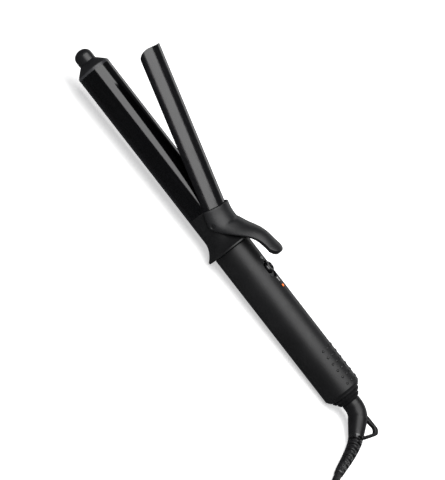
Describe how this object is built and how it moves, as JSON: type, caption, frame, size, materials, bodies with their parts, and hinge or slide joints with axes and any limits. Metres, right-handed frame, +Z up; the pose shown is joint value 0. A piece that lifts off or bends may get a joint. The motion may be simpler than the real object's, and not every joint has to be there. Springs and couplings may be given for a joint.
{
  "type": "curling iron",
  "caption": "Hair curling iron with a sprung clamp blade on a round heated barrel, a thumb lever, a long handle with a slide switch and a cord on a swivel.",
  "frame": {"origin": "on the table, under the middle of the iron's box without its cord", "axes": "+X from the tip towards the tail and the cord, +Z up from the table, on the clamp's side"},
  "size_m": [0.5624, 0.1694, 0.0947],
  "materials": {
    "barrel_coat": "gloss",
    "blade_coat": "gloss",
    "tip_ring": "satin",
    "tip_plastic": "satin",
    "soft_touch": "matte",
    "gloss_black": "gloss",
    "pilot_orange": "gloss",
    "cord_rubber": "satin",
    "tie_band": "matte",
    "plug_plastic": "satin",
    "plated_metal": "satin",
    "steel": "satin",
    "bare_aluminium": "satin",
    "heater_ceramic": "matte",
    "heatproof_plastic": "matte",
    "fuse_case": "satin",
    "sensor_glass": "gloss",
    "lead_sleeve": "matte",
    "inner_plastic": "matte",
    "capacitor_case": "satin",
    "board_laminate": "satin",
    "brass": "satin"
  },
  "bodies": {
    "iron": {"barrel_tube": "barrel_coat", "tip_ring": "tip_ring", "tip_cone": "tip_plastic", "tip_knob": "tip_plastic", "tip_plug": "heatproof_plastic", "tip_screw": "steel", "barrel_mount": "heatproof_plastic", "barrel_mount_screws": "steel", "shoulder_housing": "soft_touch", "pivot_pin": "steel", "torsion_spring": "steel", "heat_spreader_upper": "bare_aluminium", "heat_spreader_lower": "bare_aluminium", "heater_plate": "heater_ceramic", "spreader_springs": "steel", "thermal_fuse": "fuse_case", "temperature_sensor": "sensor_glass", "heater_leads": "lead_sleeve", "handle_sleeve": "soft_touch", "switch_plate": "gloss_black", "slide_switch_body": "inner_plastic", "led_window": "pilot_orange", "pilot_led": "pilot_orange", "triac": "inner_plastic", "mains_capacitor": "capacitor_case", "handle_chassis": "inner_plastic", "chassis_screws": "steel", "circuit_board": "board_laminate", "board_screws": "steel", "tail_cap": "soft_touch", "swivel_retainer": "inner_plastic", "contact_brushes": "brass", "supply_leads": "lead_sleeve"},
    "clamp": {"clamp_blade": "blade_coat", "blade_rivets": "steel", "thumb_lever": "soft_touch"},
    "switch": {"switch_knob": "gloss_black"},
    "swivel": {"swivel_elbow": "cord_rubber", "slip_rings": "brass", "strain_relief": "cord_rubber", "power_cord": "cord_rubber", "cord_coil": "cord_rubber", "cord_tie": "tie_band", "cord_end": "cord_rubber", "plug_body": "plug_plastic", "plug_pins": "plated_metal"}
  },
  "joints": [
    {"name": "clamp_hinge", "type": "hinge", "parent": "iron", "child": "clamp", "pos_m": [-0.01966, 0, 0.03245], "axis": [0, 1, 0], "range_deg": [-17, 1], "stiffness_Nm_per_rad": 0.35, "springref_deg": -51.57, "deforming": ["torsion_spring"]},
    {"name": "switch_slide", "type": "slide", "parent": "iron", "child": "switch", "axis": [0.9994, 0, -0.0348], "range_m": [0, 0.0035]},
    {"name": "cord_swivel", "type": "hinge", "parent": "iron", "child": "swivel", "pos_m": [0.17614, 0, 0.01762], "axis": [0.9994, 0, -0.0348], "continuous": true}
  ]
}
